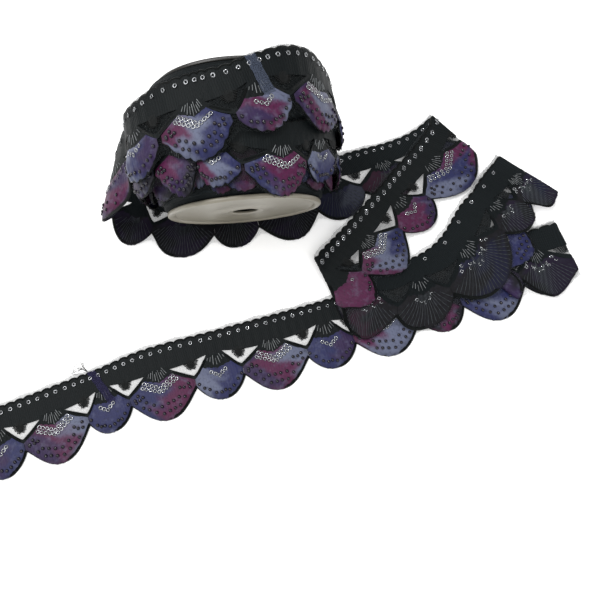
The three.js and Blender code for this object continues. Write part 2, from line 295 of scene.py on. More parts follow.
def net_material(name, code, margin_share, window_share, thread_share):
    """Sheer net, denser in the windows, where a second layer backs the embroidery."""
    material, tree, shader = new_material(
        name, Base_Color=linear(code), Roughness=0.7, Specular_IOR_Level=0.1
    )
    across = add(tree, "ShaderNodeSeparateXYZ", {0: flat_place(tree)}).outputs[1]
    layers = ramp(tree, across, 28.0, 36.0, window_share, margin_share)
    weave = use_group(tree, net_group, object_place(tree), Meshes=750.0)["Thread"]
    give(shader, {"Alpha": math_node(tree, "MULTIPLY_ADD", weave, thread_share, layers)})
    return material


net = net_material("grey_net", "#2b2e30", 0.14, 0.3, 0.14)
net_dark = net_material("dark_net", "#131617", 0.3, 0.5, 0.3)
join_organza = net_material("join_organza", "#444b5b", 0.4, 0.4, 0.3)
join_violet = net_material("join_violet", "#25223f", 0.45, 0.45, 0.3)

# %% Sequins, beads, the reel and the floor
sequin_metal, tree, shader = new_material(
    "sequin_silver", Base_Color=linear("#96989b"), Metallic=1.0, Roughness=0.15
)
bump(tree, shader, noise(tree, object_place(tree), 900.0, 2.0), 0.0002, 0.4)

bead_glass, tree, shader = new_material("bead_glass", Roughness=0.12, Specular_IOR_Level=0.4)
tone = noise(tree, object_place(tree), 130.0, 1.0)
give(shader, {"Base Color": mix_colour(tree, tone, linear("#050508"), linear("#191222"))})


def plastic(name, code, wear_code, roughness):
    """Moulded plastic with faint flow marks and handling dust."""
    material, tree, shader = new_material(name)
    mottle = use_group(tree, mottle_group, object_place(tree), Scale=22.0)
    share = math_node(tree, "MULTIPLY", mottle["Light"], 0.25)
    give(shader, {
        "Base Color": mix_colour(tree, share, linear(code), linear(wear_code)),
        "Roughness": math_node(tree, "MULTIPLY_ADD", mottle["Dark"], 0.05, roughness),
    })
    bump(tree, shader, mottle["Dark"], 0.0001, 0.1)
    return material


reel_cream = plastic("reel_cream", "#7f7a6d", "#87827a", 0.36)
reel_dark = plastic("reel_dark", "#1f1e1b", "#282623", 0.35)

# painted light: the floor glows a little (emission 0.3), which lifts the shadows on it
floor_paper, tree, shader = new_material(
    "floor_paper", Roughness=0.9, Emission_Color=(1, 1, 1, 1), Emission_Strength=0.3
)
grain = noise(tree, object_place(tree), 300.0, 3.0)
paper = mix_colour(tree, grain, (0.92, 0.92, 0.92, 1), (0.96, 0.96, 0.955, 1))
give(shader, {"Base Color": paper})
print("materials:", len(bpy.data.materials))

# %% [markdown]
# ## Where each place of the trim lies
# A place on the trim is given by s, along it, w, across it from the heading, and h, above it on the
# right side, all in millimetres. Tables hold the roll's outline and the loose end's folds, the same
# as in the CAD model, and a smooth curve through their rows fills in what lies between.

# %% The tables of the roll
FRONT_CENTRE = np.array([-39.0, 78.0, 56.0])
BACK_CENTRE = np.array([-48.0, 159.0, 85.0])
REEL_LENGTH = float(np.linalg.norm(BACK_CENTRE - FRONT_CENTRE))
AXIS = (BACK_CENTRE - FRONT_CENTRE) / REEL_LENGTH
RIGHT = np.array([1.0, 0, 0]) - AXIS[0] * AXIS
RIGHT /= np.linalg.norm(RIGHT)
UP = np.cross(RIGHT, AXIS)
TURN = 430.0
FLAT_SPOT_Z = 1.9
BARREL_R = 22.0
DISC_R = 54.0
CORE_R = BARREL_R + 0.3

# angle round the axis (0 right, 90 top, 180 left), outer radius
OUTER_R = [
    (0, 72.5), (20, 68.3), (45, 67), (93, 67.5), (135, 74.5), (152, 77.3), (166, 75.8),
    (180, 75), (225, 78), (270, 80), (315, 77), (360, 72.5),
]
# angle, place of the last turn's heading along the axis
HEADING_U = [
    (0, 86.5), (16, 89.5), (34, 92), (47, 91), (59, 88), (68, 84.5), (78, 80.5), (90, 76),
    (101, 74.5), (124, 71), (139, 67), (150, 65), (165, 63), (200, 66), (250, 74),
    (300, 80), (360, 86.5),
]
# angle, how far forward the petals beneath reach along the axis
FRONT_U = [
    (0, 9), (17, 7), (68, -3.4), (100, 2), (121, 2.5), (150, 5), (180, 8), (225, 12),
    (270, 14), (315, 12), (360, 9),
]
# place along the trim, angle of the petal's tip there
LAST_TURN = [
    (-127, 0), (-86, 38), (-43, 71), (0, 108), (43, 149), (86, 182), (129, 218),
    (172, 252), (215, 287), (258, 322), (303, 360),
]
TURN_BENEATH = [
    (-152, 0), (-129, 28), (-86, 68), (-43, 100), (0, 121), (43, 155), (86, 192),
    (129, 229), (172, 265), (215, 302), (258, 345), (278, 360),
]

# %% The tables of the loose end
LAYER = 2.8
UP_Z = 0.55
DOWN_Z = 1.05
EDGE_W = 57.0
# s, the heading's x, y, z, the scalloped edge's x, y, z
CURL = [
    (62, -119.6, 120.5, 95.5, -117.5, 64, 81),
    (74, -125.5, 121, 80, -131, 67, 67),
    (86, -132, 122, 63, -141, 72, 51),
    (97, -137.5, 123.5, 45, -146, 74.5, 35),
    (107, -140.5, 125, 28, -148, 75.5, 20),
    (115, -140, 127, 14, -147, 75, 9.5),
    (121, -136, 128.5, 5.5, -144, 73.5, 3.6),
    (129, -128, 128.5, DOWN_Z, -137.5, 72.3, DOWN_Z),
]
# the side that faces up (1 wrong side, -1 right side), then s, the heading's x and y, and how many
# layers of the strip lie under it there
RUNS_FLAT = [
    (1, [
        (129, -128, 128.5, 0), (150, -110.5, 125.5, 0), (172, -92.5, 123.5, 0), (193, -76, 124.3, 0),
        (215, -60.5, 126.7, 0), (258, -21, 136.4, 0), (301, 17, 148.6, 0), (345, 59, 169.8, 0),
        (398, 112.6, 197.2, 0),
    ]),
    (-1, [
        (398, 112.6, 197.2, 1), (431, 90.3, 162.6, 1), (470, 68.8, 133.1, 1), (496, 52.5, 111.5, 2),
        (559, 15, 58, 2),
    ]),
    (1, [
        (559, 15, 58, 1), (615, 63, 51.6, 1), (647, 88, 57, 1 + 0.6 / LAYER), (681, 112.5, 74.5, 3),
        (719, 133, 104.3, 3), (757, 149, 131.5, 3), (785, 164.5, 151.5, 3),
    ]),
    (-1, [(785, 164.5, 151.5, 2), (820, 143, 123.5, 2), (874, 126, 72, 2)]),
    (1, [(874, 126, 72, 1), (920, 163.5, 84, 1), (968, 204, 94, 1)]),
    (-1, [
        (968, 204, 94, 0), (1050, 118.5, 63.8, 0), (1148, 28.5, 31, 0), (1270, -87.5, -2.6, 0),
        (1410, -216.8, -53.4, 0), (1424, -229.6, -58.8, 0),
    ]),
]
RUNS = [
    (side, [(s, x, y, under * LAYER + (DOWN_Z if side > 0 else UP_Z)) for s, x, y, under in rows])
    for side, rows in RUNS_FLAT
]
LOOSE_START = 70.0
LOOSE_END = RUNS[-1][1][-1][0]
print("loose end:", LOOSE_END - LOOSE_START, "mm in", len(RUNS), "runs")

# %% A smooth curve through a table's rows


def curve(rows, keys):
    """The table's other columns at these keys of its first column."""
    table = np.asarray(rows, float)
    known, values = table[:, 0], table[:, 1:]
    keys = np.asarray(keys, float)
    gaps = np.diff(known)[:, None]
    slopes = np.empty_like(values)
    slopes[0], slopes[-1] = np.diff(values, axis=0)[[0, -1]] / gaps[[0, -1]]
    slopes[1:-1] = (values[2:] - values[:-2]) / (gaps[1:] + gaps[:-1])
    i = np.clip(np.searchsorted(known, keys.ravel()), 1, len(known) - 1)
    step = gaps[i - 1]
    u = ((keys.ravel() - known[i - 1]) / step[:, 0])[:, None]
    made = (
        (2 * u**3 - 3 * u**2 + 1) * values[i - 1]
        + (u**3 - 2 * u**2 + u) * step * slopes[i - 1]
        + (3 * u**2 - 2 * u**3) * values[i]
        + (u**3 - u**2) * step * slopes[i]
    )
    return made.reshape(keys.shape + (values.shape[1],))


def round_table(rows, angle):
    """A column of the roll's outline at any angle."""
    return curve(rows, np.mod(angle, 360.0))[..., 0]


def smooth(value, low, high):
    """0 before low, 1 past high, and a soft step between them."""
    t = np.clip((value - low) / (high - low), 0, 1)
    return t * t * (3 - 2 * t)


def floats(*values):
    """The values as arrays of one shape."""
    return np.broadcast_arrays(*(np.asarray(value, float) for value in values))


# %% A place on the roll


def on_axis(along, radius, angle):
    """A point by its place along the reel's axis, its radius and its angle in degrees."""
    turn = np.radians(angle)[..., None]
    spoke = np.cos(turn) * RIGHT + np.sin(turn) * UP
    return FRONT_CENTRE + np.asarray(along)[..., None] * AXIS + np.asarray(radius)[..., None] * spoke


def pressed(along, radius, angle):
    """Under the roll the turns are pressed flat by the roll's weight."""
    outer = round_table(OUTER_R, angle) + 1.6
    turn = np.radians(angle)
    drop = -UP[2] * np.sin(turn) - RIGHT[2] * np.cos(turn)
    floor_r = (FRONT_CENTRE[2] + along * AXIS[2] - FLAT_SPOT_Z) / np.maximum(drop, 0.05)
    squeeze = np.minimum(1, (floor_r - CORE_R) / (outer - CORE_R))
    return np.where(drop > 0.05, CORE_R + (radius - CORE_R) * squeeze, radius)


def tip_angle(rows, s):
    """The angle of the scalloped edge at s, on any turn."""
    turns = np.floor((s - rows[0][0]) / TURN)
    return curve(rows, s - turns * TURN)[..., 0] + 360 * turns

# %% The last turn and the one beneath it
# the shares of its width that each takes along the axis, how far the heading leans in at the right,
# and how far to each side the heading's slope is averaged
LAST_SHARE = 0.91
BENEATH_SHARE = 0.8
HEAD_LEAN = 3.5
SLOPE_REACH = 14
# motif place on the turn beneath, shift along it
BENEATH_DRAPE = [
    (-262, 0), (-172, 0), (-129, 2), (-86, -8.5), (-43, 0.5), (0, -5), (43, -5), (86, 0), (178, 0),
]


def head_lean(angle):
    """How far in the heading leans at this angle."""
    return HEAD_LEAN * np.clip(np.cos(np.radians(angle)), 0, 1) ** 6


def last_turn(s, w, h):
    """The outermost turn. Its heading slopes round the roll, so each petal leans a little."""
    tip = tip_angle(LAST_TURN, s)
    radius = round_table(OUTER_R, tip)
    before, after = (round_table(HEADING_U, tip + reach) for reach in (-SLOPE_REACH, SLOPE_REACH))
    slope = (after - before) / (2 * SLOPE_REACH)
    lean = np.clip(slope * np.degrees(1) / radius, -0.25, 0.25)
    angle = tip - np.degrees(lean * (EDGE_W - w) / radius)
    head = round_table(HEADING_U, tip - np.degrees(lean * EDGE_W / radius))
    edge = round_table(HEADING_U, tip) - LAST_SHARE * EDGE_W
    along = head + (edge - head) * w / EDGE_W
    lean_in = head_lean(angle) * np.clip(1 - w / 28, 0, 1)
    bulge = 0.9 * np.sin(np.pi * np.clip((w - 26) / 30, 0, 1)) - 0.4
    tuck = 2.8 * (1 - smooth(tip, -190, -125))
    base = round_table(OUTER_R, angle) - lean_in + bulge - tuck + h
    return on_axis(along, pressed(along, base, angle), angle)


def beneath(s, w, h):
    """The turn under it, whose petals show below the last turn's."""
    s, w, h = floats(s, w, h)
    angle = tip_angle(TURN_BENEATH, s + curve(BENEATH_DRAPE, s)[..., 0])
    along = round_table(FRONT_U, angle) + BENEATH_SHARE * (EDGE_W - w)
    base = round_table(OUTER_R, angle) - 5.6 + 1.7 * smooth(w, EDGE_W, 42) + h
    return on_axis(along, pressed(along, base, angle), angle)


# %% A place on the loose end
FOLD_REACH = 6.0


def tangent_at(rows, s):
    """The heading's level direction at s."""
    step = curve(rows, s + 0.2) - curve(rows, s - 0.2)
    step[..., 2] = 0
    return step / np.linalg.norm(step, axis=-1, keepdims=True)


def fold_lean(before, after):
    """How far a fold's line leans along the strip for each millimetre across it."""
    d1 = tangent_at(before[1], before[1][-1][0])
    d2 = tangent_at(after[1], after[1][0][0])
    across = 1 if before[0] * (d1[0] * d2[1] - d1[1] * d2[0]) > 0 else -1
    half = (math.pi - math.acos(float(np.clip(d1 @ d2, -1, 1)))) / 2
    return -across * math.tan(half)


LEANS = [0.0] + [fold_lean(RUNS[i], RUNS[i + 1]) for i in range(len(RUNS) - 1)] + [0.0]


def curl_place(s, w, h):
    """A place where the strip comes down the roll's flank."""
    rows = np.array(CURL)
    here = curve(rows[:, :4], s)
    across = (curve(rows[:, [0, 4, 5, 6]], s) - here) / EDGE_W
    tangent = curve(rows[:, :4], s + 0.2) - curve(rows[:, :4], s - 0.2)
    normal = np.cross(tangent, across)
    normal /= np.linalg.norm(normal, axis=-1, keepdims=True)
    return here + across * w[..., None] + normal * h[..., None]


def run_place(i, station, w, h):
    """A place in one run, by the station on its heading that the leaning column starts from."""
    side, rows = RUNS[i]
    start, end = rows[0][0], rows[-1][0]
    share = (station - start) / (end - start)
    lean = LEANS[i] + (LEANS[i + 1] - LEANS[i]) * share
    moved = station.copy()
    arc = np.zeros_like(station)
    outward = np.zeros(station.shape + (3,))
    rise = np.zeros_like(station)
    bend = np.zeros_like(station)
    for other, key, inward, at in ((i - 1, start, 1, LEANS[i]), (i + 1, end, -1, LEANS[i + 1])):
        if not 0 <= other < len(RUNS):
            continue
        here_z = rows[0][3] if inward == 1 else rows[-1][3]
        there_z = RUNS[other][1][-1 if inward == 1 else 0][3]
        radius = abs(there_z - here_z) / 2
        reach = radius * math.pi / 2
        gap = (station - key) * inward
        flat = (gap >= reach) & (gap < FOLD_REACH)
        spread = (gap - reach) * FOLD_REACH / (FOLD_REACH - reach)
        moved = np.where(flat, key + inward * spread, moved)
        moved = np.where(gap < reach, key, moved)
        arc = np.where(gap < reach, (1 - gap / reach) * math.pi / 2, arc)
        tangent = tangent_at(rows, key)
        line = np.array([tangent[1], -tangent[0], 0]) * side + tangent * at
        out = np.array([line[1], -line[0], 0]) / np.linalg.norm(line)
        if out @ tangent * inward > 0:
            out = -out
        up = np.sign(there_z - here_z)
        inside = gap < reach
        outward[inside] = out
        rise = np.where(inside, up * radius, rise)
        bend = np.where(inside, 1 if np.sign(-side) == -up else -1, bend)
    here = curve(rows, moved)
    tangent = tangent_at(rows, moved)
    across = np.stack([tangent[..., 1], -tangent[..., 0], 0 * w], -1) * side
    across = across + tangent * lean[..., None]
    normal = np.zeros_like(here)
    normal[..., 2] = -side * np.cos(arc)
    normal += outward * (bend * np.sin(arc))[..., None]
    place = here + across * w[..., None] + normal * h[..., None]
    place += outward * (np.abs(rise) * np.sin(arc))[..., None]
    place[..., 2] += rise * (1 - np.cos(arc))
    return place


def loose_end(s, w, h):
    """Sorts the places into the curl and the runs between folds."""
    place = curl_place(s, w, h)
    for i, (_, rows) in enumerate(RUNS):
        start, end = rows[0][0], rows[-1][0]
        change = (LEANS[i + 1] - LEANS[i]) / (end - start)
        station = (s - w * (LEANS[i] - change * start)) / (1 + w * change)
        chosen = station >= start if i else s >= start
        if not chosen.any():
            continue
        place[chosen] = run_place(i, station[chosen], w[chosen], h[chosen])
    return place


# motif place, shift along the strip, how far the heading is pulled in, share of the full width
DRAPE = [
    (-400, 0, 0, 1), (-172, -3, 0, 1), (-129, -7, 0, 1), (-86, -8, 0, 1), (-43, -8.5, 0, 1.02),
    (0, -5.5, 0, 1.02), (43, -10, 0, 1.02), (86, -3, 0, 1), (129, 0, 0, 1.02), (172, -0.5, 0, 1.03),
    (215, 1, 0, 1.03), (258, 3.5, 0, 1.03), (301, 3, -1, 1.02), (321, 3, -0.8, 1.02),
    (334, 2, 1.4, 1.01), (347, 1, 4, 1), (360, 0, 6, 1), (373, 0, 6.6, 1), (384, 0, 5.4, 1),
    (398, 0, 1.5, 1.02), (406, 1, 4.4, 1.06), (430, 2, 3.5, 1.08), (445, 3, 2.1, 1.07),
    (473, 5.5, 1.7, 1.05), (491, 7.5, 1.2, 1.04), (516, 8, -0.8, 1.03), (545, 5, -4.2, 1),
    (559, 2, -4, 1), (590, 0, -5, 0.97), (646, 0, -5, 0.94), (673, 0, -3.5, 0.96),
    (717, 2, -4.5, 0.98),
    (738, 4, -1, 1), (774, 0, 0, 1.02), (785, 0, 0, 1.02), (874, 0, 0, 1), (903, -6, 1, 1.02),
    (946, -9, 2.5, 1.05), (968, 0, 0.5, 1.03), (1032, 0.5, -1, 1.05), (1075, 0, -1, 1.03),
    (1118, 3.5, -1, 1), (1161, 3, -0.8, 1), (1204, 2.6, -0.2, 1), (1247, 3.4, 0, 1),
    (1277, 6, -1.8, 0.97), (1300, 6.5, -2.8, 0.94), (1333, 4.5, -1, 0.91), (1350, 1.9, -1, 0.94),
    (1376, 0.6, -1, 0.965), (1402, -1, -1, 0.965), (1426, -2, -1, 0.96),
]


def trim(s, w, h):
    """The last turn and, without a break, the loose end that leaves it at the left flank."""
    s, w, h = floats(s, w, h)
    drape = curve(DRAPE, s)
    w = w * drape[..., 2] + drape[..., 1] * (1 - w / EDGE_W)
    s = s + drape[..., 0]
    part = smooth(s, 60, 86)[..., None]
    rolled = last_turn(np.minimum(s, 90), w, h)
    place = rolled * (1 - part) + loose_end(np.maximum(s, 62), w, h) * part
    place[..., 2] = np.maximum(place[..., 2], 0.02)
    return place


def lies_at(s):
    """Where a place of the motif lies along the strip once it is draped."""
    return s + curve(DRAPE, s)[..., 0]


print("heading points:", trim([-86, 0, 430, 1204], 0, 0).round(1).tolist())

# %% [markdown]
# ## The motif, drawn flat
# One repeat has a large and a small petal. The lines that bound its pieces are plain formulas of the
# place along the trim: the rim of the petals, the V under each fan, and the windows at the valleys.

# %% The lines of the motif
PAIR = 86.0
SCALLOP = PAIR / 12
LARGE_HALF = 25.0
SMALL_HALF = 18.0
VALLEY_W = 37.5
LARGE_TIP = 55.4
SMALL_TIP = 51.0
BAND_FOOT = 17.5
WINDOW_FOOT = 29.7
# how far a window reaches under its large and its small petal, and its upper line there
LARGE_REACH, LARGE_TOP = 16.0, 19.5
SMALL_REACH, SMALL_TOP = 12.5, 15.6
CORD_W = 2.7
# half the width and half the height of the cord along a window
WINDOW_CORD = (1.3, 0.715)


def petal_at(number):
    """A petal's centre along the trim, half its width, and whether it is a large one."""
    large = number % 2 == 0
    return number * PAIR / 2, LARGE_HALF if large else SMALL_HALF, large


def petal_of(s):
    """Each place's distance from its petal's centre, and whether the petal is a large one."""
    along = np.mod(s + LARGE_HALF, PAIR) - LARGE_HALF
    large = along < LARGE_HALF
    return np.where(large, along, along - PAIR / 2), large


def petal_share(s):
    """0 at a petal's centre and 1 at the valleys beside it."""
    gap, large = petal_of(s)
    return np.minimum(np.abs(gap) / np.where(large, LARGE_HALF, SMALL_HALF), 1), large


def rim(s):
    """The satin rim: a large petal is a little pointed, a small one round."""
    share, large = petal_share(s)
    bow = np.clip(1 - share**2.2, 0, 1)
    pointed, rounded = (LARGE_TIP - VALLEY_W) * bow**1.3, (SMALL_TIP - VALLEY_W) * bow**0.9
    return VALLEY_W + np.where(large, pointed, rounded)


def net_rim(s):
    """The cut edge of the net, wider in the valleys than at the tips."""
    share, _ = petal_share(s)
    return rim(s) + 1.9 + 6.0 * share**5 + 0.35 * np.sin(s * 1.9) + 0.25 * np.sin(s * 4.3)


def from_valley(s):
    """Each place's distance from the valley beside it, and whether its petal is large."""
    gap, large = petal_of(s)
    return np.where(large, LARGE_HALF, SMALL_HALF) - np.abs(gap), large


def window_foot(s):
    """The lower line of the windows: steep beside a small petal, flatter beside a large one."""
    gap, large = from_valley(s)
    under_large = WINDOW_FOOT - 10.1 * np.minimum(gap / LARGE_REACH, 1) ** 1.05
    under_small = WINDOW_FOOT - 14.1 * np.minimum(gap / SMALL_REACH, 1) ** 1.3
    return np.where(large, under_large, under_small)


def in_window(s):
    """Whether a place along the trim is over a window."""
    gap, large = from_valley(s)
    return gap < np.where(large, LARGE_REACH, SMALL_REACH)


def band_edge(s):
    """The lower edge of the black band, which rises from a small petal's side to a large one's."""
    gap, large = from_valley(s)
    at = np.where(large, gap, -gap)
    t = np.clip((at + SMALL_REACH) / (LARGE_REACH + SMALL_REACH), 0, 1)
    line = SMALL_TOP + (LARGE_TOP - SMALL_TOP) * t + 1.1 * np.sin(np.pi * t)
    return np.where(in_window(s), line, BAND_FOOT)


def petal_top(s):
    """The organza's upper line: a shallow V in the middle, and along the windows at the sides."""
    gap, large = petal_of(s)
    gap = np.abs(gap)
    vee = np.where(large, 27.5 - 0.42 * gap, 27.9 - 0.25 * gap)
    return np.maximum(vee, window_foot(s) + CORD_W)


# %% The prints of the petals
PRINT = {
    "B": "#202349",
    "M": "#461437",
    # G is grey-white: partly the print's own grey-white, partly a painted sheen on the organza
    "G": "#565b70",
    "P": "#291b3d",
    # D is near black: the print's darkest clouds, and on petals under the roll and the last turn
    # partly painted shade
    "D": "#15141c",
}
# petal number (its centre is at 43 times that) and its colours in the order of rising s
LAST_PRINTS = {
    -2: "PGMP", -1: "GMP", 0: "BBGM", 1: "PBG", 2: "PMP", 3: "PDP", 4: "DPD", 5: "DDP", 6: "DPD",
    10: "MBG", 11: "PMM", 12: "BGM", 13: "MMM", 14: "DMD", 15: "DD", 16: "DBD", 17: "DPD",
    18: "DPB", 19: "BBD", 20: "BBB", 21: "DP", 22: "DPP", 23: "DPD", 24: "BGB", 25: "DMD",
    26: "GGM", 27: "PBB", 28: "GMP", 29: "BBG", 30: "MB", 31: "BB", 32: "GMP", 33: "BP",
}
BENEATH_PRINTS = {-3: "BBG", -2: "MMB", -1: "BGM", 0: "DPM", 1: "DPD"}
ROTA = ["GMP", "BBG", "MMB", "BPB", "BGM", "PBB"]


def print_colours(number, prints, share, depth):
    """The print's colour over a petal: two or three clouds with wavering borders."""
    clouds = prints.get(number, ROTA[number % len(ROTA)])
    stops = np.array([linear(PRINT[c])[:3] for c in clouds])
    shift = 0.16 * np.sin(depth * 5.1 + number * 1.7) + 0.09 * np.sin(depth * 13 + share * 7 + number)
    t = np.clip((share + 1) / 2 + shift, 0, 1) * len(stops)
    colour = stops[0] + 0 * t[..., None]
    for i in range(1, len(stops)):
        part = smooth(t, i - 0.35, i + 0.35)[..., None]
        colour = colour * (1 - part) + stops[i] * part
    edge = smooth(depth, 0.86, 1.0) * 0.35 + smooth(np.abs(share), 0.8, 1.0) * 0.3
    return colour * (1 - edge[..., None])


# %% Helpers for meshes


def grid(points, flat=None, colour=None, flip=False):
    """A grid of points in millimetres, with flat coordinates and colours for its vertices."""
    return {"points": points, "flat": flat, "colour": colour, "flip": flip}


def grid_faces(rows, columns, start, flip):
    """The four-sided faces of a grid whose points begin at start."""
    i, j = np.meshgrid(np.arange(rows - 1), np.arange(columns - 1), indexing="ij")
    a = start + i * columns + j
    quads = np.stack([a, a + columns, a + columns + 1, a + 1], -1).reshape(-1, 4)
    return quads[:, ::-1] if flip else quads


def make_piece(name, grids, material, slot="trim"):
    """One mesh from many grids, riding on the model's one body."""
    points, faces, flats, colours = [], [], [], []
    count = 0
    for g in grids:
        rows, columns = g["points"].shape[:2]
        points.append(g["points"].reshape(-1, 3) * MM)
        faces.append(grid_faces(rows, columns, count, g["flip"]))
        flats.append(np.zeros((rows * columns, 2)) if g["flat"] is None else g["flat"].reshape(-1, 2))
        if g["colour"] is not None:
            colours.append(g["colour"].reshape(-1, 3))
        count += rows * columns
    points, faces = np.concatenate(points), np.concatenate(faces)
    mesh = bpy.data.meshes.new(name)
    mesh.from_pydata(points.tolist(), [], faces.tolist())
    uv = mesh.uv_layers.new(name="flat")
    uv.data.foreach_set("uv", np.concatenate(flats)[faces.ravel()].astype(np.float32).ravel())
    if colours:
        values = np.concatenate(colours)
        values = np.concatenate([values, np.ones((len(values), 1))], 1)
        attribute = mesh.color_attributes.new("print", "FLOAT_COLOR", "POINT")
        attribute.data.foreach_set("color", values.astype(np.float32).ravel())
    mesh.shade_smooth()
    return finish_piece(name, mesh, material, slot)


def finish_piece(name, mesh, material, slot="trim"):
    """The mesh as a piece of the scene, with its one material."""
    mesh.materials.clear()
    mesh.materials.append(material)
    piece = put_in_scene(name, mesh)
    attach(piece, "root")
    print(name, len(mesh.polygons), "faces")
    return piece


# %% [markdown]
# ## Flat pieces of the motif
# Each function below returns grids for one stretch of the trim: the net, the black band, the fans,
# the petals on both sides, and the cords. They take the function that bends the trim, so the same
# drawing serves the roll and the loose end.

# %% Net, band and fans
FINE = 1.2


def columns_over(start, end, step=FINE):
    """Places along the trim, about one step apart."""
    return np.linspace(start, end, max(2, int(round((end - start) / step)) + 1))


def spread(bend, s, low, high, rows, rise=None, side=1, uv=(1.0, 1.0)):
    """A grid from the line low to the line high, raised by rise(s, w) to one side of the net."""
    t = np.linspace(0, 1, rows)
    w = low[:, None] + (high - low)[:, None] * t
    wide = np.broadcast_to(s[:, None], w.shape)
    h = side * rise(wide, w) if rise else 0 * w
    flat = np.stack([wide * uv[0], w * uv[1]], -1)
    return grid(bend(wide, w, h), flat, None, side < 0)


def selvage(s):
    """The cut edge of the net beyond the heading."""
    return -3.2 + 0.5 * np.sin(s * 0.31) + 0.3 * np.sin(s * 1.7)


def net_grids(bend, start, end):
    """The net ground, with a narrow uneven selvage beyond the heading."""
    s = columns_over(start, end)
    edge = selvage(s) * np.where(s < LOOSE_START + 40, 0.6, 1.0)
    return [spread(bend, s, edge, net_rim(s), 32)]


def band_height(s, w):
    """Low lobes along the heading and faint ribs below them."""
    turn = np.pi * s / SCALLOP
    lobes = 0.22 * np.abs(np.cos(turn)) * smooth(w, 6, 0)
    return 0.62 + lobes + 0.12 * np.cos(2 * turn) * smooth(w, 5, 12)


def fan_height(s, w):
    """The ribs of a fan's threads, which splay out from a point in the band."""
    gap, _ = petal_of(s)
    turn = np.arctan2(gap, np.maximum(w - 9, 1))
    return 0.6 + 0.16 * np.cos(turn * 26) * smooth(w, 15, 24)


def black_grids(bend, start, end, side):
    """The band and the fans, on the right side (1) or the wrong side (-1)."""
    s = columns_over(start, end, 1.0)
    top = np.where(in_window(s), window_foot(s) - 0.3, BAND_FOOT - 0.7)
    return [
        spread(bend, s, 0 * s + 0.4, band_edge(s), 10, band_height, side, (0.5, 1.0)),
        spread(bend, s, top, petal_top(s) + 1.0, 9, fan_height, side, (1.0, 0.5)),
    ]


# %% Petals


def petal_range(start, end):
    """The numbers of the petals whose centres lie between two places."""
    return range(math.ceil(start / (PAIR / 2)), math.floor(end / (PAIR / 2)) + 1)


def petal_rise(number, s, w, lobes=0.0):
    """How high the organza stands over the net at a place of its petal."""
    centre, half, _ = petal_at(number)
    share = np.clip((s - centre) / half, -0.995, 0.995)
    top, foot = petal_top(centre + share * half), rim(centre + share * half)
    depth = np.clip((w - top) / np.maximum(foot - top, 0.6), 0, 1)
    dome = np.sin(np.pi * depth) ** 0.7 * (1 - np.abs(share) ** 4)
    return 0.62 + (0.9 + 0.5 * lobes) * dome


def petal_grid(bend, number, prints, side, dim=1.0, narrow=1.0, lobes=0.0, across=36, down=14):
    """One printed petal, domed on the right side, from its upper line to just past its rim."""
    centre, half, large = petal_at(number)
    share = np.sin(np.linspace(-1, 1, across) * np.pi / 2) * 0.995
    full = (centre + share * half)[:, None]
    depth = np.linspace(0, 1, down)
    top, foot = petal_top(full[:, 0]), rim(full[:, 0])
    lobe = np.abs(np.cos(share * half * np.pi / 6.2 + number))
    fray = np.where(share > -0.1, 0.9, -1.0) * (1 - 0.8 * lobes) + 0.3 * np.sin(share * 31 + number)
    foot = foot + (fray + 2.0 * lobes * (lobe - 0.35)) * (1 - np.abs(share) ** 6)
    w = top[:, None] + np.maximum(foot - top, 0.6)[:, None] * depth
    wide = np.broadcast_to(centre + (full - centre) * narrow, w.shape)
    share, depth = np.broadcast_arrays(share[:, None], depth)
    pleat = 0.06 * np.sin(share * (34 if large else 26) + 2 * depth) * np.sin(np.pi * depth)
    ruffle = lobes * (lobe - 0.5)[:, None] * smooth(depth, 0.35, 1.0)
    rise = petal_rise(number, full + 0 * w, w, lobes)
    h = rise + pleat + ruffle if side > 0 else -0.53 - 0.15 * rise - pleat
    # dim darkens the whole print: on the backs for the duller wrong side, on the older turns as
    # painted shade
    colour = dim * print_colours(number, prints, share, depth)
    return grid(bend(wide, w, h), np.stack([share * half, w * 0.3], -1), colour, side < 0)


# %% Cords


def tube(bend, s, w, h, wide, thick, sides=8):
    """A flattened cord along a line on the trim, tapering to nothing at its ends."""
    s, w, h, wide, thick = floats(s, w, h, wide, thick)
    ds, dw = np.gradient(s), np.gradient(w)
    size = np.hypot(ds, dw) + 1e-9
    taper = np.clip(np.minimum(np.arange(len(s)), np.arange(len(s))[::-1]) / 2.0, 0.04, 1)
    turn = np.linspace(0, 2 * np.pi, sides + 1)
    out = (wide * taper)[:, None] * np.cos(turn)
    rise = (thick * taper)[:, None] * np.sin(turn)
    place_s = s[:, None] - (dw / size)[:, None] * out
    place_w = w[:, None] + (ds / size)[:, None] * out
    length = np.cumsum(size)[:, None] + 0 * out
    flat = np.stack([length * 1.6, turn[None, :] * 0.2 + length * 0.5], -1)
    return grid(bend(place_s, place_w, h[:, None] + rise), flat, None, True)


def heading_cord(bend, start, end):
    """The small corded scallops along the heading."""
    s = columns_over(start, end, 0.9)
    w = 1.25 - 1.5 * np.abs(np.cos(np.pi * s / SCALLOP)) ** 0.8
    return [tube(bend, s, w, 0.1, 1.15, 0.8, 6)]


def petal_cords(bend, number, narrow=1.0, lobes=0.0):
    """The satin cord round one petal's rim, wide where it lies bare, and along the windows."""
    centre, half, large = petal_at(number)
    share = np.sin(np.linspace(-1, 1, 46 if large else 34) * np.pi / 2)
    bare = (1 - smooth(share, -0.35, 0.15)) * (1 - 0.8 * lobes)
    s = centre + share * half * narrow
    w = rim(centre + share * (half - 0.01)) + 0.3 - 0.6 * bare
    cords = [tube(bend, s, w, 0.1 - 0.2 * lobes, 0.65 + 0.95 * bare, 0.6 + 0.25 * bare)]
    reach = LARGE_REACH if large else SMALL_REACH
    away = np.linspace(half - reach * 0.98, half - 0.1, 12)
    for sign in (-1, 1):
        line = (centre + sign * away)[::sign]
        foot = window_foot(centre + sign * np.minimum(away, half - 0.11)) + CORD_W / 2
        cords.append(tube(bend, line, foot[::sign], 0.15, *WINDOW_CORD, 6))
    return cords


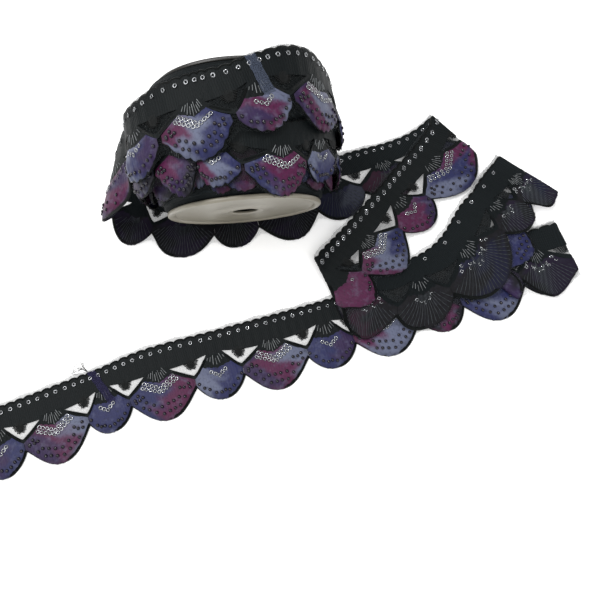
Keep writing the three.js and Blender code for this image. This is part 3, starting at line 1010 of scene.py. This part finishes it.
# %% [markdown]
# ## Sequins, beads and threads
# The rings and the beads repeat by the hundred, so Geometry Nodes make them: each tree builds one
# small shape from its named sizes and sets it on every point, turned to the point's normal. A third
# tree sweeps a thin thread along drawn strokes.

# %% The Geometry Nodes trees
GEOMETRY = "NodeSocketGeometry"
WHOLE = "NodeSocketInt"


def geometry_tree(name, sizes):
    """An empty tree that is given points or lines, its sizes and a material."""
    inputs = [("Geometry", GEOMETRY, None), *sizes, ("Material", "NodeSocketMaterial", None)]
    return new_group(name, inputs, [("Geometry", GEOMETRY)], "GeometryNodeTree")


def close_tree(tree, shapes, given, result):
    """Every tree ends in real geometry with its material."""
    real = add(tree, "GeometryNodeRealizeInstances", {0: shapes}).outputs[0]
    ends = {"Geometry": real, "Material": given["Material"]}
    give(result, {0: add(tree, "GeometryNodeSetMaterial", ends).outputs[0]})


def set_on_points(tree, given, shape):
    """The shape on every point, its Z along the point's facing."""
    facing = add(
        tree, "GeometryNodeInputNamedAttribute", {"Name": "facing"}, data_type="FLOAT_VECTOR"
    )
    vector = {"Vector": facing.outputs["Attribute"]}
    turned = add(tree, "FunctionNodeAlignRotationToVector", vector, axis="Z").outputs["Rotation"]
    ends = {"Points": given["Geometry"], "Instance": shape, "Rotation": turned}
    return add(tree, "GeometryNodeInstanceOnPoints", ends).outputs["Instances"]


def swept(tree, path, outline, **settings):
    """A path swept with an outline."""
    ends = {"Curve": path.outputs[0], "Profile Curve": outline.outputs[0], **settings}
    return add(tree, "GeometryNodeCurveToMesh", ends).outputs[0]


def circle(tree, sides, radius):
    """A circle, as a ring's path or a thread's outline."""
    sizes = {"Resolution": sides, "Radius": radius}
    return add(tree, "GeometryNodeCurvePrimitiveCircle", sizes, mode="RADIUS")


ring_tree, given, result = geometry_tree("sequin_rings", [
    ("Ring radius", FLOAT, 0.001), ("Width", FLOAT, 0.001), ("Thickness", FLOAT, 0.0002),
    ("Sides", WHOLE, 12),
])
band = add(
    ring_tree, "GeometryNodeCurvePrimitiveQuadrilateral",
    {"Width": given["Width"], "Height": given["Thickness"]}, mode="RECTANGLE",
)
ring = swept(ring_tree, circle(ring_tree, given["Sides"], given["Ring radius"]), band)
close_tree(ring_tree, set_on_points(ring_tree, given, ring), given, result)

bead_tree, given, result = geometry_tree("seed_beads", [("Radius", FLOAT, 0.0012)])
ball = add(bead_tree, "GeometryNodeMeshIcoSphere", {"Radius": given["Radius"], "Subdivisions": 2})
squat = add(
    bead_tree, "GeometryNodeTransform", {"Geometry": ball.outputs["Mesh"], "Scale": (1, 1, 0.78)}
)
bead = add(bead_tree, "GeometryNodeSetShadeSmooth", {0: squat.outputs[0]}).outputs[0]
close_tree(bead_tree, set_on_points(bead_tree, given, bead), given, result)

stroke_tree, given, result = geometry_tree(
    "thread_strokes", [("Radius", FLOAT, 0.0003), ("Sides", WHOLE, 4)]
)
path = add(stroke_tree, "GeometryNodeMeshToCurve", {"Mesh": given["Geometry"]})
outline = circle(stroke_tree, given["Sides"], given["Radius"])
thread = swept(stroke_tree, path, outline, **{"Fill Caps": True})
close_tree(stroke_tree, thread, given, result)
print("trees:", ring_tree.name, bead_tree.name, stroke_tree.name)

# %% Running a tree


def run_tree(name, tree, material, points, edges=(), facing=None, **sizes):
    """A plain mesh from the tree's result on these points, in millimetres, and lines."""
    seed_mesh = bpy.data.meshes.new(name + "_points")
    seed_mesh.from_pydata((np.asarray(points) * MM).tolist(), list(edges), [])
    if facing is not None:
        attribute = seed_mesh.attributes.new("facing", "FLOAT_VECTOR", "POINT")
        attribute.data.foreach_set("vector", np.asarray(facing, np.float32).ravel())
    holder = put_in_scene(name + "_points", seed_mesh)
    modifier = holder.modifiers.new("shapes", "NODES")
    modifier.node_group = tree
    values = {key.replace("_", " "): value for key, value in sizes.items()}
    values["Material"] = material
    for item in tree.interface.items_tree:
        if item.in_out == "INPUT" and item.name in values:
            modifier[item.identifier] = values[item.name]
    bpy.context.view_layer.update()
    made = holder.evaluated_get(bpy.context.evaluated_depsgraph_get())
    mesh = bpy.data.meshes.new_from_object(made)
    mesh.name = name
    bpy.data.objects.remove(holder)
    bpy.data.meshes.remove(seed_mesh)
    return finish_piece(name, mesh, material)


def stroke(s, w, h):
    """One drawn stroke: a row of places on the trim."""
    return np.stack(floats(s, w, h), -1)


def lay_strokes(name, bend, strokes, material, **sizes):
    """Thin threads along strokes, bent with the trim."""
    points, edges, count = [], [], 0
    for line in strokes:
        points.append(bend(line[:, 0], line[:, 1], line[:, 2]))
        edges += [(count + k, count + k + 1) for k in range(len(line) - 1)]
        count += len(line)
    return run_tree(name, stroke_tree, material, np.concatenate(points), edges, **sizes)


# %% Setting rings and beads
rng = np.random.default_rng(7)
PRESSED_Z = 1.6
FLASH_REACH = 0.88


def unit(vectors):
    """The same directions, each of length one."""
    return vectors / np.linalg.norm(vectors, axis=-1, keepdims=True)


def set_shapes(name, tree, material, bend, places, tilt, glints=0.0, **sizes):
    """Shapes at places (s, w, h), each tilted a little at random, and none where the trim is
    pressed on the table. A few, as many as glints says, lean so that the small light flashes."""
    s, w, h = np.array(places, float).T
    keep = bend(s, w, h)[:, 2] > PRESSED_Z
    s, w, h = s[keep], w[keep], h[keep]
    here = bend(s, w, h)
    normal = unit(bend(s, w, h + 0.5) - here)
    leaning = unit(normal + rng.normal(0, tilt, normal.shape))
    flash = unit(unit(np.array(CAMERA_PLACE) - here) + unit(np.array(GLINT_PLACE) / MM - here))
    near = (normal * flash).sum(-1) > FLASH_REACH
    chosen = near & (rng.random(len(here)) < glints)
    facing = np.where(chosen[:, None], flash, leaning)
    return run_tree(name, tree, material, here, (), facing, **sizes)


# %% Where sequins and beads sit
SEQUIN_W = 4.4
# past the join on the roll the heading is drawn up tighter
PUCKER, PUCKERED = -50.0, 0.78


def heading_sequins(start, end, h, doubles=True):
    """One ring on each corded scallop, with a second one half hidden beside it."""
    places = []
    for k in range(math.ceil(start / SCALLOP), math.floor(end / SCALLOP) + 1):
        s = k * SCALLOP
        if s < PUCKER:
            s = PUCKER + (s - PUCKER) * PUCKERED
        places.append((s, SEQUIN_W, h))
        if doubles:
            places.append((s + 1.3, SEQUIN_W + 1.0, h - 0.3))
    return places


def on_petal(number, places, over, narrow=1.0, lobes=0.0):
    """Places a little over the organza, from (gap from the centre, place across)."""
    centre = petal_at(number)[0]
    gap, w = np.array(places, float).T
    rise = petal_rise(number, centre + gap, w, lobes) + over
    return list(zip(centre + gap * narrow, w, rise))


# each row of a large petal's V: its foot, its slope, and the gap from the centre at each ring
V_ROWS = [
    (35.2, 0.54, (1.5, 4.4, 7.3, 10.2, 12.9)),
    (31.9, 0.6, (0, 2.9, 5.7, 8.5, 10.9)),
]


def petal_sequins(number, narrow=1.0, lobes=0.0):
    """The V of a large petal, in two rows, or the single one of a small petal."""
    if number % 2:
        places = [(k * 2.65, 34.2 - abs(k) * 1.9) for k in range(-3, 4) if (number * 3 + k) % 6]
    else:
        places = [
            (sign * gap, foot - slope * gap)
            for foot, slope, gaps in V_ROWS
            for gap in gaps
            for sign in ((-1, 1) if gap else (1,))
        ]
        if lobes > 0.5:  # on the roll a few of the inner row are turned under
            places = places[:10] + places[10::2]
    return on_petal(number, places, 0.5, narrow, lobes)


# a large petal's few beads between its V and its valleys: gap from the centre, place across
CORNER_BEADS = [(-20, 34), (-13.5, 35.4), (14.5, 34.8), (18, 32.6), (21, 35.2)]
# the rows of beads along a rim: first and last share of the half width, beads, how far inside it
LARGE_ROWS = [(-0.8, 0.84, 10, 4.9), (-0.66, 0.7, 8, 10.3)]
SMALL_ROWS = [(-0.88, 0.9, 10, 4.5)]


def petal_beads(number, narrow=1.0, lobes=0.0):
    """Rows of seed beads that follow the rim: two in a large petal, one in a small one."""
    centre, half, large = petal_at(number)
    places = list(CORNER_BEADS) if large else []
    for low, high, count, inset in LARGE_ROWS if large else SMALL_ROWS:
        for share in np.linspace(low, high, count):
            gap = share * half + 0.5 * math.sin(7 * share + number)
            w = float(rim(centre + gap)) - inset + 0.7 * math.cos(11 * share + number)
            places.append((gap, w))
    return on_petal(number, places, 0.4, narrow, lobes)


# %% Strokes: the fans' openwork, the windows' comb and the wrong side's threads


def fan_strokes(number, h):
    """Pale slits between the threads of a fan, which splay out from a point in the band."""
    centre, _, large = petal_at(number)
    strokes = []
    for k, turn in enumerate(np.linspace(-0.46, 0.46, 9 if large else 7)):
        far = (19.3 if large else 18.3) - abs(turn) * 8 - 0.8 * (k % 2)
        r = np.linspace(10.0 + 1.2 * ((k + number) % 3), far, 5)
        strokes.append(stroke(centre + r * np.sin(turn), 8 + r * np.cos(turn), h))
    return strokes


# place across, half length of each bar of the comb
COMB_BARS = [
    (17.4, 5.0), (18.4, 5.3), (19.4, 5.0), (20.4, 4.4), (21.4, 4.1), (22.4, 3.4), (23.4, 2.9),
    (24.2, 1.9),
]


def comb_strokes(valley, h):
    """The comb motif in a window: ragged bars on a solid middle, narrower towards its foot."""
    strokes = []
    for k, (depth, half) in enumerate(COMB_BARS):
        s = valley + np.linspace(-half, half, 5) + 0.3 * math.sin(2.3 * k + valley)
        strokes.append(stroke(s, depth - 0.7 + np.abs(s - valley) / half, h))
    for shift in np.linspace(-2.6, 2.6, 7):
        r = np.linspace(16.0, 23.6 - abs(shift) * 0.5, 5)
        strokes.append(stroke(valley + shift * (1.9 - r / 20), r, h + 0.1))
    return strokes


def back_threads(number, h):
    """On the wrong side the fan's threads run on over the petal to its rim."""
    centre, half, large = petal_at(number)
    t = np.linspace(0.12, 1, 7)
    strokes = []
    for share in np.linspace(-0.93, 0.93, 25 if large else 17):
        at = centre + share * half * 0.99
        foot = float(rim(at)) - 1.0
        s, w = centre + share * half * t**1.25, 14 + (foot - 14) * t
        seen = w > min(float(petal_top(at)), foot - 3)
        if seen.sum() > 1:
            strokes.append(stroke(s[seen], w[seen], h))
    return strokes


# %% [markdown]
# ## Dressing a stretch of the trim
# Two functions put all the pieces on a stretch: they are called for the last turn, for the turn
# beneath it and for the loose end.

# %% The stretches
LOOSE_UP = [(LOOSE_START, 129), (400, 557), (787, 872), (970, LOOSE_END)]
LOOSE_DOWN = [(131, 396), (561, 783), (876, 966)]

# narrow is how far a large petal is drawn in; face_up and face_down are where each side shows
Stretch = namedtuple("Stretch", "label bend start end prints narrow lobes face_up face_down")
LOOSE = Stretch(
    "loose_end", trim, LOOSE_START, LOOSE_END, LAST_PRINTS, 1.0, 0.12, LOOSE_UP, LOOSE_DOWN
)
LAST = Stretch(
    "last_turn", trim, -372, LOOSE_START, LAST_PRINTS, 0.88, 1.0, [(-390, LOOSE_START)], []
)
UNDER = Stretch(
    "turn_beneath", beneath, -262, 178, BENEATH_PRINTS, 0.92, 1.0, [(-280, 190)], []
)


def petals_in(stretch):
    """The numbers of the stretch's petals, each with how far it is drawn in."""
    numbers = petal_range(stretch.start - 4, stretch.end + 4)
    return [(n, 1.0 if n % 2 else stretch.narrow) for n in numbers]


# %% The net, the embroidery, the petals and the cords


def dress(stretch):
    """The net, the black work, the petals and the cords, and the wrong side where it shows."""
    label, bend, start, end = stretch[:4]

    def petals(side, dim, across):
        return [
            petal_grid(bend, n, stretch.prints, side, dim, tight, stretch.lobes, across)
            for n, tight in petals_in(stretch)
        ]

    made = [
        make_piece(
            "net_" + label, net_grids(bend, start, end), net if stretch.face_down else net_dark
        ),
        make_piece("embroidery_" + label, black_grids(bend, start, end, 1), embroidery),
        make_piece("petals_" + label, petals(1, 1.0, 48), organza),
    ]
    if stretch.face_down:
        threads = [line for n, _ in petals_in(stretch) for line in back_threads(n, -0.8)]
        made += [
            make_piece("backing_" + label, black_grids(bend, start, end, -1), embroidery_back),
            make_piece("petal_backs_" + label, petals(-1, 0.3, 36), organza_back),
            lay_strokes(
                "back_threads_" + label, bend, threads, thread_back, Radius=0.00026, Sides=3
            ),
        ]
    cords = heading_cord(bend, start, end)
    for n, tight in petals_in(stretch):
        cords += petal_cords(bend, n, tight, stretch.lobes)
    return made + [make_piece("cords_" + label, cords, cord_black)]


loose = dress(LOOSE)
last = dress(LAST)
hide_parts("loose_end")

# %% Rings, beads and strokes
RING = dict(Ring_radius=0.00116, Width=0.00068, Thickness=0.0002, Sides=14)
BEAD = dict(Radius=0.00125)
# this petal's middle is under the last turn
COVERED = ("turn_beneath", 0)


def inside(s, stretches):
    """Whether s lies in one of these stretches."""
    return any(low <= s <= high for low, high in stretches)


def dress_up(stretch):
    """Rings on the heading and the petals, beads and strokes, where each side shows."""
    label, bend, start, end = stretch[:4]
    lobes, up, down = stretch.lobes, stretch.face_up, stretch.face_down

    def shown(places, side):
        return [p for p in places if start < p[0] < end and inside(lies_at(p[0]), side)]

    rings, beads, pale = [], [], []
    if stretch is not UNDER:
        rings += shown(heading_sequins(start + 1, end - 1, 1.15, lobes < 0.5), up)
    behind = shown(heading_sequins(start + 1, end - 1, -0.95, False), down)
    rings += [p for k, p in enumerate(behind) if p[0] < 400 or k % 3 == 0]
    for n, tight in petals_in(stretch):
        vee = [] if (label, n) == COVERED else petal_sequins(n, tight, lobes)
        rings += shown(vee, up)
        rings += shown([(s, w, -0.66) for s, w, _ in vee if n > 12 and (n + w) % 1 < 0.6], down)
        beads += shown(petal_beads(n, tight, lobes), up)
        middle = lies_at(n * PAIR / 2)
        if inside(middle, up):
            pale += fan_strokes(n, 0.84 if n % 3 == 0 else 0.74)
        elif inside(middle, down):
            pale += fan_strokes(n, -0.7)
    valleys = [n * PAIR + gap for n in range(-6, 18) for gap in (LARGE_HALF, PAIR - LARGE_HALF)]
    combs = [line for v in valleys if start + 3 < v < end - 3 for line in comb_strokes(v, 0.3)]
    return [
        set_shapes("sequins_" + label, ring_tree, sequin_metal, bend, rings, 0.12, 0.14, **RING),
        set_shapes("beads_" + label, bead_tree, bead_glass, bend, beads, 0.1, **BEAD),
        lay_strokes("fan_slits_" + label, bend, pale, slit_light, Radius=0.00022),
        lay_strokes("combs_" + label, bend, combs, thread_black, Radius=0.0004),
    ]


loose += dress_up(LOOSE)
last += dress_up(LAST)

# %% [markdown]
# Two lengths of trim are joined on the roll and again near the end. At each join a narrow strip of
# plain organza is stitched across the band, and at the second one a little thread has frayed out.

# %% Join strips and the frayed thread
JOINS = [
    # label, the strip's two edges beyond the heading, its two edges at the petal, place across there
    ("join_on_roll", -49.0, -41.8, -53.0, -44.2, 28.0, join_organza, last),
    ("join_near_end", 1334.5, 1341.5, 1325.0, 1331.5, 29.0, join_violet, loose),
]
for label, low, high, low_foot, high_foot, foot, material, pieces in JOINS:
    t = np.linspace(0, 1, 24)[:, None]
    u = np.linspace(0, 1, 8)[None, :]
    left = low + (low_foot - low) * t + 0.25 * np.sin(t * 19)
    right = high + (high_foot - high) * t + 0.25 * np.sin(t * 23 + 1)
    place_s = left + (right - left) * u
    place_w = -0.8 + (foot + 0.8) * t + 0 * u
    rise = 1.3 + 0.25 * np.sin(np.pi * u) + 0.12 * np.sin(9 * t + 3 * u)
    strip = grid(trim(place_s, place_w, rise), np.stack([place_s, place_w], -1), None, True)
    pieces.append(make_piece(label, [strip], material))

# how far each end of the frayed thread reaches, and how much it bows
FRAYED = [(7.5, 4.2), (4.6, -5.0), (9.0, 3.2), (3.0, 6.2), (5.5, -3.4)]
t = np.linspace(0, 1, 26)
frayed = [
    stroke(
        1341 + (5 + 2 * k) * t + bow * np.sin(2.2 * np.pi * t + k) * t,
        -1.5 - reach * np.sin(np.pi * t * 0.9),
        0.7 + 1.5 * np.sin(np.pi * t) ** 2,
    )
    for k, (reach, bow) in enumerate(FRAYED)
]
loose.append(lay_strokes("frayed_thread", trim, frayed, thread_black, Radius=0.00017))

# %% [markdown]
# ## The winding under the last turn
# The roll is a stack of turns. Only their edges show, so the inside is one dark solid form that
# follows the same section as the CAD model, a little smaller, and the last turns lie on it.

# %% The wound core
BACK_FACE = REEL_LENGTH - 1.9
FRONT_FACE = 1.9


def angle_to_s(rows, angle):
    """The place along the trim whose petals lie at this angle."""
    return curve(np.array(rows, float)[:, ::-1], np.mod(angle, 360.0))[..., 0]


def core_section(angle):
    """Places along the axis and radii, from the barrel at the back round to the barrel in front."""
    r = float(round_table(OUTER_R, angle))
    head_r = r - float(head_lean(angle))
    head = float(round_table(HEADING_U, angle))
    last = head - LAST_SHARE * float(rim(angle_to_s(LAST_TURN, angle)))
    deep = EDGE_W - float(rim(angle_to_s(TURN_BENEATH, angle)))
    front = float(round_table(FRONT_U, angle)) + BENEATH_SHARE * deep
    return [
        (BACK_FACE, CORE_R), (BACK_FACE, 52.5), (BACK_FACE - 0.5, 55.3), (BACK_FACE - 4.5, 57),
        (BACK_FACE - 1.5, 58.8), (BACK_FACE - 6.5, 60.5), (min(head - 5, BACK_FACE), head_r - 5),
        (head - 2.5, head_r - 2), (head - 16, r - 1.9), (last + 7, r - 1.9), (last + 8, r - 5.2),
        (max(front + 14, last - 4), r - 6.4), (front + 6, r - 8), (front + 4, r - 9.2),
        (max(FRONT_FACE + 4, front + 4.5), 58), (FRONT_FACE + 2.2, 55.6), (FRONT_FACE, 52.5),
        (FRONT_FACE, CORE_R),
    ]


angles = np.linspace(0, 360, 145)
section = np.array([core_section(a) for a in angles])
turns = np.repeat(angles[:, None], section.shape[1], axis=1)
core_points = on_axis(section[..., 0], pressed(section[..., 0], section[..., 1], turns), turns)
core_flat = np.stack([section[..., 1] * 1.4, section[..., 0] * 0.9], -1)
wound_core = make_piece("wound_core", [grid(core_points, core_flat, None, False)], embroidery_back)
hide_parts("wound_trim")

# %% The turn beneath and what each net was cut to
under = dress(UNDER)
under += dress_up(UNDER)


def declare_sheet(pieces, start, end, low=None, length=None):
    """Prints what the net was cut to: its greatest width and its length."""
    length = length or end - start
    s = columns_over(start, end)
    head, foot = selvage(s) if low is None else 0 * s + low, net_rim(s)
    width = float(foot.max() - head.min())
    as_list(pieces[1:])
    print(pieces[0].name, "cut to", round(width, 1), "x", round(length), "mm")


declare_sheet(loose, LOOSE_START, LOOSE_END)
declare_sheet(last, LAST.start, LAST.end)
declare_sheet(under, UNDER.start, UNDER.end)

# %% [markdown]
# Of the turns further in, only the petals' front edges and a strip of net can be seen, so only these
# are built.

# %% What shows of the older turns


def older(drop, ahead, shift):
    """An older turn: lower by drop, further forward by ahead, its petals shifted along."""

    def bend(s, w, h):
        s, w, h = floats(s, w, h)
        angle = tip_angle(TURN_BENEATH, s + shift)
        along = round_table(FRONT_U, angle) * 0.45 + ahead + BENEATH_SHARE * (EDGE_W - w)
        base = DISC_R + (round_table(OUTER_R, angle) - DISC_R) * drop + h
        return on_axis(along, pressed(along, base, angle), angle)

    return bend


STRIP_FROM = 30.0
OLDER = [
    # label, share of the radius, place along the axis, shift along the trim, the turn's own length
    ("third_turn", 0.42, 2.2, 22.0, 385),
    ("fourth_turn", 0.2, 1.4, 41.0, 355),
]
for label, drop, ahead, shift, length in OLDER:
    bend = older(drop, ahead, shift)
    start, end = UNDER.start - shift, UNDER.end - 6 - shift
    numbers = petal_range(start, end - 8)
    # the older turns' prints are darkened to 0.7: painted shade under the turns above them
    petals = [petal_grid(bend, n, BENEATH_PRINTS, 1, 0.7, 0.9, 1.0, 30, 10) for n in numbers]
    cords = [cord for n in numbers for cord in petal_cords(bend, n, 1.0, 1.0)]
    sewn = [
        make_piece("petals_" + label, petals, organza),
        make_piece("cords_" + label, cords, cord_black),
    ]
    s = columns_over(start, end)
    strip = spread(bend, s, 0 * s + STRIP_FROM, net_rim(s), 14)
    older_net = make_piece("net_" + label, [strip], net_dark)
    declare_sheet([older_net] + sewn, start, end, STRIP_FROM, length)

# %% [markdown]
# ## The reel
# Two moulded discs and a tube. A disc is a turned shape: its profile, a list of radii and heights, is
# spun round the axis. The rim stands proud of the web on both faces.

# %% Discs and barrel
HOLE_R = 9.0
# radius, height from the middle of the disc, outer face first
DISC_PROFILE = [
    (HOLE_R, -0.5), (HOLE_R + 0.2, -0.75), (HOLE_R + 0.6, -0.82), (HOLE_R + 3.6, -1.1),
    (HOLE_R + 4.2, -1.06), (HOLE_R + 4.6, -0.86), (26, -0.88), (27, -0.9), (38, -0.9),
    (47.3, -0.82), (47.9, -0.78), (48.3, -0.35), (48.8, -0.35), (49.3, -1.2), (50.2, -1.48),
    (51.2, -1.6), (52.6, -1.56), (53.4, -1.3), (53.85, -0.9), (54, -0.4), (54, 0.6), (53.8, 1.1),
    (53.3, 1.45), (52.5, 1.6), (50, 1.55), (49.2, 1.3), (48.4, 0.85), (40, 0.8), (20, 0.8),
    (HOLE_R + 0.5, 0.8), (HOLE_R, 0.5), (HOLE_R, -0.5),
]
BACK_PROFILE = [(r, REEL_LENGTH - z) for r, z in reversed(DISC_PROFILE)]
TUBE = [(19.5, 1.1), (22, 1.1), (22, REEL_LENGTH - 1.1), (19.5, REEL_LENGTH - 1.1), (19.5, 1.1)]


def turned(name, profile, material, slot, steps=180):
    """A profile spun round the reel's axis."""
    radius, along = np.array(profile, float).T
    angle, radius, along = floats(np.linspace(0, 360, steps + 1)[:, None], radius, along)
    points = on_axis(along, radius, angle)
    return make_piece(name, [grid(points, np.stack([angle, radius], -1))], material, slot)


front_disc = turned("front_disc", DISC_PROFILE, reel_cream, "reel_cream")
back_disc = turned("back_disc", BACK_PROFILE, reel_dark, "reel_dark")
barrel = turned("barrel", TUBE, reel_dark, "reel_dark", 96)
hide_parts("reel_front_disc")
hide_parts("reel_back_disc")
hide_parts("reel_barrel")

# %% The floor
floor_mesh = bpy.data.meshes.new("floor")
floor_mesh.from_pydata([(-3, -3, 0), (3, -3, 0), (3, 3, 0), (-3, 3, 0)], [], [(0, 1, 2, 3)])
floor_mesh.materials.append(floor_paper)
floor = put_in_scene("floor", floor_mesh)
